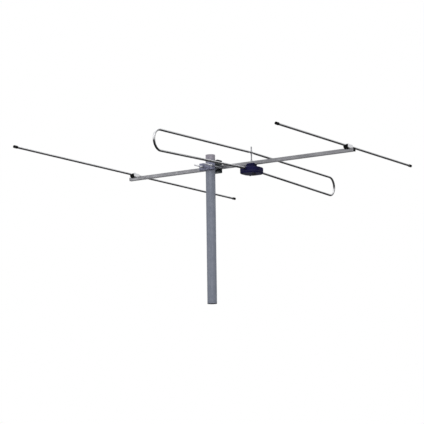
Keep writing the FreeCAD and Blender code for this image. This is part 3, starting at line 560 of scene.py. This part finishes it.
def add_thread(bm, diameter, start, end):
    """A helical thread between two levels, with a chamfered tip; the first thing in its mesh."""
    pitch = PITCHES[diameter]
    crest = diameter / 2
    root = crest - THREAD_DEPTH_SHARE * pitch
    turns = math.ceil((end - start) / pitch) + 2
    corners = ((root, -1), (crest, THREAD_CREST[0]), (crest, THREAD_CREST[1]), (root, 0))
    profile = [bm.verts.new((radius * MM, 0, (start + share * pitch) * MM))
               for radius, share in corners]
    edges = [bm.edges.new(pair) for pair in zip(profile, profile[1:])]
    bmesh.ops.spin(bm, geom=profile + edges, cent=(0, 0, 0), axis=(0, 0, 1), angle=math.tau * turns,
                   dvec=(0, 0, pitch * MM / THREAD_STEPS), steps=turns * THREAD_STEPS)
    bmesh.ops.remove_doubles(bm, verts=bm.verts, dist=WELD)
    for vert in bm.verts:
        limit = root * MM * THREAD_TIP_SHARE + max(0, end * MM - vert.co.z)
        radius = vert.co.xy.length
        if radius > limit:
            vert.co.x *= limit / radius
            vert.co.y *= limit / radius
    for level, way in ((start, -1), (end, 1)):
        bmesh.ops.bisect_plane(bm, geom=bm.verts[:] + bm.edges[:] + bm.faces[:], clear_outer=True,
                               plane_co=(0, 0, level * MM), plane_no=(0, 0, way))
    bmesh.ops.remove_doubles(bm, verts=bm.verts, dist=WELD)
    bmesh.ops.holes_fill(bm, edges=[edge for edge in bm.edges if edge.is_boundary])


def add_shank(bm, diameter, length, threaded):
    """The threaded end of a shank, and the plain stretch between it and the head."""
    plain = max(0, length - threaded)
    add_thread(bm, diameter, plain, length)
    if plain:
        turn_profile(bm, [(0, 0), (diameter / 2, 0), (diameter / 2, plain), (0, plain)])


def build_bolt(bm, diameter, length, threaded):
    """A hexagon-headed bolt."""
    add_shank(bm, diameter, length, threaded)
    add_hexagon(bm, diameter * FLATS_SHARE, -diameter * HEAD_SHARE, 0, both_ends=False)


def build_screw(bm, diameter, length, threaded):
    """A pan-headed screw with a cross recess."""
    add_shank(bm, diameter, length, threaded)
    rim = diameter * PAN_RADIUS_SHARE
    height = diameter * HEAD_SHARE
    rounding = height * PAN_ROUND_SHARE
    pan = [(0, 0), (rim, 0)]
    for step in range(ROUND_STEPS + 1):
        angle = math.pi / 2 * step / ROUND_STEPS
        pan.append((rim - rounding * (1 - math.cos(angle)),
                    -height + rounding * (1 - math.sin(angle))))
    head = set(turn_profile(bm, pan))
    crown = [edge for edge in bm.edges if edge.is_boundary and head.issuperset(edge.verts)]
    reach = diameter * RECESS_REACH_SHARE
    half = diameter * RECESS_WIDTH_SHARE
    mouth = []
    for turn in range(4):
        quarter = Matrix.Rotation(math.pi / 2 * turn, 2)
        for corner in ((reach, -half), (reach, half), (half, half)):
            mouth.append(bm.verts.new((*(quarter @ Vector(corner) * MM), -height * MM)))
    lip = [bm.edges.new(pair) for pair in zip(mouth, mouth[1:] + mouth[:1])]
    sunk = bmesh.ops.extrude_edge_only(bm, edges=lip)["geom"]
    floor = [part for part in sunk if isinstance(part, bmesh.types.BMVert)]
    bmesh.ops.scale(bm, verts=floor, vec=(RECESS_TAPER, RECESS_TAPER, 1))
    bmesh.ops.translate(bm, verts=floor, vec=(0, 0, height / 2 * MM))
    bmesh.ops.bridge_loops(bm, edges=lip + crown)
    bmesh.ops.holes_fill(bm, edges=[edge for edge in bm.edges if edge.is_boundary])


def build_nut(bm, diameter, height):
    """A hexagon nut, turned off at both ends."""
    add_hexagon(bm, diameter * FLATS_SHARE, 0, height, both_ends=True, bore=diameter / 2)


def build_washer(bm, diameter, height):
    """A pressed washer, its upper edges rounded over by the die."""
    inner = diameter * WASHER_BORE_SHARE
    outer = diameter
    edge = height * WASHER_EDGE_SHARE
    turn_profile(bm, [(inner, 0), (outer, 0), (outer, height - edge), (outer - edge, height),
                      (inner + edge, height), (inner, height - edge)], closed=True)


def show_instead(name, bm, node, slot):
    """Makes a piece of the head from a finished bmesh, and shows it in a node's place."""
    piece = add_object(name, bm)
    piece.data.polygons.foreach_set("use_smooth", [True] * len(piece.data.polygons))
    piece.data.set_sharp_from_angle(angle=SHARP_ANGLE)
    piece.data.materials.append(FINISHES[slot])
    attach(piece, "head")
    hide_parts(node)


def fit_fasteners(node, way, build, diameter, head_share=0.0, slot="fastener_zinc", **details):
    """Builds a fastener on each solid of a node, and shows it in the node's place."""
    turn = Matrix.Rotation(math.radians(TURNS[way]), 4, "X")
    axis = turn @ Vector((0, 0, 1))
    head = diameter * head_share
    together = bmesh.new()
    for low, high in solid_boxes(node):
        span = abs(axis.dot(high - low)) / MM
        bm = bmesh.new()
        build(bm, diameter, span - head, **details)
        bmesh.ops.recalc_face_normals(bm, faces=bm.faces)
        seat = (low + high) / 2 + axis * (head - span / 2) * MM
        bm.transform(Matrix.Translation(seat) @ turn)
        one = bpy.data.meshes.new("one_fastener")
        bm.to_mesh(one)
        bm.free()
        together.from_mesh(one)
        bpy.data.meshes.remove(one)
    show_instead(f"{node}_threaded", together, node, slot)


def build_fasteners():
    """Every threaded piece that shows, with its thread's diameter in millimetres."""
    for name in ("reflector", "director"):
        fit_fasteners(f"{name}_bolt", "down", build_bolt, 5, HEAD_SHARE, threaded=ROD_BOLT_THREAD)
    fit_fasteners("dipole_stud", "up", build_bolt, 6, HEAD_SHARE, threaded=FULL_THREAD)
    fit_fasteners("stud_nuts", "up", build_nut, 6)
    fit_fasteners("clamp_bolts", "near", build_bolt, 6, HEAD_SHARE, threaded=CLAMP_BOLT_THREAD)
    fit_fasteners("clamp_washers", "near", build_washer, 6)
    fit_fasteners("clamp_nuts", "near", build_nut, 6)
    fit_fasteners("boom_screws", "far", build_screw, 5, HEAD_SHARE, threaded=FULL_THREAD)
    fit_fasteners("boom_screw_nuts", "far", build_nut, 5)
    fit_fasteners("cover_screws", "up", build_screw, 3.5, HEAD_SHARE, "screw_black",
                  threaded=FULL_THREAD)


# The dipole: its solid's two terminal holes go on up through the crimped rod, which is whole on
# the real one

TERMINAL_HOLE_REACH = 2.6 * MM
CRIMP_ABOVE_SCREWS = 20 * MM


def close_crimp():
    """Shows a copy of the dipole with the holes in its upper rod filled, and the tabs' own kept."""
    bm = bmesh.new()
    bm.from_mesh(nodes["dipole_loop"].data)
    bmesh.ops.remove_doubles(bm, verts=bm.verts, dist=WELD)
    walls = []
    for low, high in solid_boxes("terminal_screws"):
        axis = (low + high).xy / 2
        level = high.z + CRIMP_ABOVE_SCREWS
        walls += [face for face in bm.faces
                  if all(vert.co.z > level and (vert.co.xy - axis).length < TERMINAL_HOLE_REACH
                         for vert in face.verts)]
    bmesh.ops.delete(bm, geom=walls, context="FACES")
    rims = [edge for edge in bm.edges if edge.is_boundary]
    for patch in bmesh.ops.holes_fill(bm, edges=rims)["faces"]:
        if not patch.edges[0].is_contiguous:
            patch.normal_flip()
    show_instead("dipole_loop_closed", bm, "dipole_loop", "rod_metal")


# Stage: floor, white surroundings, lamps and camera

FLOOR_RADIUS = 9.0
FLOOR_CLEAR = 4.0
FLOOR_FADE = 8.5
FLOOR_SEGMENTS = 96
FLOOR_TONE = 0.5
FLOOR_MOTTLE = 0.02
FLOOR_ROUGHNESS = 0.9
FLOOR_GLOSS = 0.1
WORLD_TINT = (0.97, 0.98, 1, 1)
WORLD_FILL = 0.6

# Lamps: place, the point that each is aimed at, width in metres, power in watts
LAMPS = {
    "key_lamp": ((2.5, -4.0, 2.6), (0.1, 0, 0.5), 4.2, 115),
    "top_lamp": ((-0.6, 0.4, 4.2), (0.1, 0, 0.5), 4.2, 65),
    "side_lamp": ((-2.9, -2.3, 1.3), (-0.4, 0, 0.6), 1.3, 14),
}


def seen_as_white(tree):
    """1 for rays that show the surroundings: from the camera, off gloss, and through glass."""
    path = tree.nodes.new("ShaderNodeLightPath")
    seen = math_node(tree, "ADD", path.outputs["Is Camera Ray"], path.outputs["Is Glossy Ray"])
    return math_node(tree, "ADD", seen, path.outputs["Is Transmission Ray"], clamp=True)


def mix_shaders(tree, factor, first, second):
    """The first shader where the factor is 0, and the second where it is 1."""
    node = tree.nodes.new("ShaderNodeMixShader")
    tree.links.new(factor, node.inputs["Fac"])
    tree.links.new(first, node.inputs[1])
    tree.links.new(second, node.inputs[2])
    return node.outputs["Shader"]


def floor_material():
    """A pale matt floor that fades to the white surroundings, and that is clear from below."""
    material = bpy.data.materials.new("studio_floor")
    material.use_nodes = True
    tree = material.node_tree
    matt = tree.nodes["Principled BSDF"]
    matt.inputs["Roughness"].default_value = FLOOR_ROUGHNESS
    matt.inputs["Specular IOR Level"].default_value = FLOOR_GLOSS
    place = tree.nodes.new("ShaderNodeTexCoord")
    mottle = noise(tree, place.outputs["Object"], 3.0, 4.0)
    tone = tree.nodes.new("ShaderNodeMapRange")
    tree.links.new(mottle, tone.inputs["Value"])
    tone.inputs["To Min"].default_value = FLOOR_TONE * (1 - FLOOR_MOTTLE)
    tone.inputs["To Max"].default_value = FLOOR_TONE * (1 + FLOOR_MOTTLE)
    tree.links.new(tone.outputs["Result"], matt.inputs["Base Color"])
    white = tree.nodes.new("ShaderNodeEmission")
    glass = tree.nodes.new("ShaderNodeBsdfTransparent")
    reach = tree.nodes.new("ShaderNodeVectorMath")
    reach.operation = "LENGTH"
    tree.links.new(place.outputs["Object"], reach.inputs[0])
    fade = ramp(tree, reach.outputs["Value"], FLOOR_CLEAR, FLOOR_FADE)
    blend = math_node(tree, "MULTIPLY", fade, seen_as_white(tree))
    lightened = mix_shaders(tree, blend, matt.outputs["BSDF"], white.outputs["Emission"])
    side = tree.nodes.new("ShaderNodeNewGeometry")
    shown = mix_shaders(tree, side.outputs["Backfacing"], lightened, glass.outputs["BSDF"])
    tree.links.new(shown, tree.nodes["Material Output"].inputs["Surface"])
    return material


def build_floor():
    """A round floor, wide enough for its rim to be lost in the white."""
    bm = bmesh.new()
    bmesh.ops.create_circle(bm, cap_ends=True, segments=FLOOR_SEGMENTS, radius=FLOOR_RADIUS)
    bmesh.ops.recalc_face_normals(bm, faces=bm.faces)
    if next(iter(bm.faces)).normal.z < 0:
        bmesh.ops.reverse_faces(bm, faces=bm.faces)
    floor = add_object("floor", bm)
    floor.data.materials.append(floor_material())


def build_world():
    """Surroundings that look white and light the part a little less than that."""
    world = bpy.data.worlds.new("studio")
    bpy.context.scene.world = world
    world.use_nodes = True
    tree = world.node_tree
    fill = tree.nodes["Background"]
    fill.inputs["Color"].default_value = WORLD_TINT
    fill.inputs["Strength"].default_value = WORLD_FILL
    white = tree.nodes.new("ShaderNodeBackground")
    white.inputs["Color"].default_value = (1, 1, 1, 1)
    white.inputs["Strength"].default_value = 1
    shown = mix_shaders(tree, seen_as_white(tree), fill.outputs["Background"],
                        white.outputs["Background"])
    tree.links.new(shown, tree.nodes["World Output"].inputs["Surface"])


def build_lamp(name, place, aim, size, power):
    """A soft square lamp aimed at a point."""
    lamp = bpy.data.lights.new(name, "AREA")
    lamp.size = size
    lamp.energy = power
    thing = bpy.data.objects.new(name, lamp)
    thing.location = place
    thing.rotation_euler = (Vector(aim) - Vector(place)).to_track_quat("-Z", "Y").to_euler()
    bpy.context.scene.collection.objects.link(thing)


def build_camera():
    """The camera, turned from level and looking along +Y by yaw, pitch and roll."""
    lens = bpy.data.cameras.new("camera")
    lens.lens = CAMERA_LENS
    lens.sensor_width = CAMERA_SENSOR
    camera = bpy.data.objects.new("camera", lens)
    yaw = Matrix.Rotation(math.radians(CAMERA_YAW), 4, "Z")
    pitch = Matrix.Rotation(math.radians(90 + CAMERA_PITCH), 4, "X")
    roll = Matrix.Rotation(math.radians(CAMERA_ROLL), 4, "Z")
    camera.matrix_world = Matrix.Translation(CAMERA_PLACE) @ yaw @ pitch @ roll
    bpy.context.scene.collection.objects.link(camera)
    bpy.context.scene.camera = camera


def build_stage():
    """All that is there only for the picture."""
    bpy.context.scene.view_settings.view_transform = "Standard"
    build_floor()
    build_world()
    for name, details in LAMPS.items():
        build_lamp(name, *details)
    build_camera()


dress_frame()
build_fasteners()
close_crimp()
build_stage()
